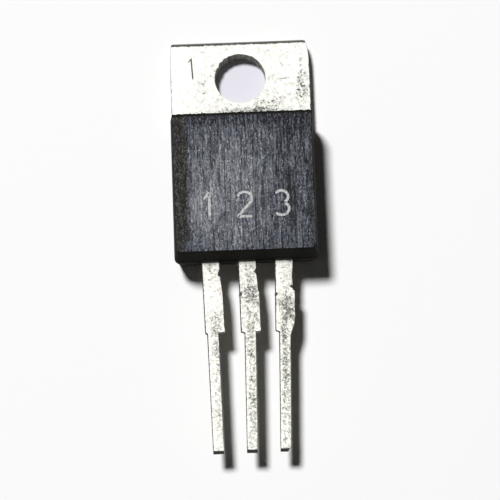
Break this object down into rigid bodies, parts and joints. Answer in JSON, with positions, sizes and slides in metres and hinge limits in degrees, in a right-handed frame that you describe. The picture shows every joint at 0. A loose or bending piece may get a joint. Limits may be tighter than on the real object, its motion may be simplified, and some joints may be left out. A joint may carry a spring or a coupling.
{
  "type": "power transistor",
  "caption": "Power transistor in a flat black plastic package, with a bright metal mounting tab and a row of flat tinned leads.",
  "frame": {"origin": "centre of the mounting hole at the flange's back face", "axes": "+X to the right, +Y from the moulding to the tab's free end, +Z from the back face to the front face; the leads run along -Y"},
  "size_m": [0.01, 0.0297, 0.0045],
  "materials": {
    "tinned_flange": "matt bright tin over copper, faintly mottled",
    "tinned_lead": "dipped tin over copper, finely speckled",
    "solder": "dull solder",
    "silicon": "polished silicon with a metallised top",
    "silicone_gel": "soft white silicone",
    "bond_wire": "bright drawn wire",
    "moulding_compound": "mineral-filled black moulding compound, its front sanded lengthwise"
  },
  "bodies": {
    "root": {"collector_flange": "tinned_flange", "base_lead": "tinned_lead", "emitter_lead": "tinned_lead", "die_solder": "solder", "silicon_die": "silicon", "junction_coating": "silicone_gel", "base_wire": "bond_wire", "emitter_wire": "bond_wire", "moulded_body": "moulding_compound"}
  },
  "joints": []
}
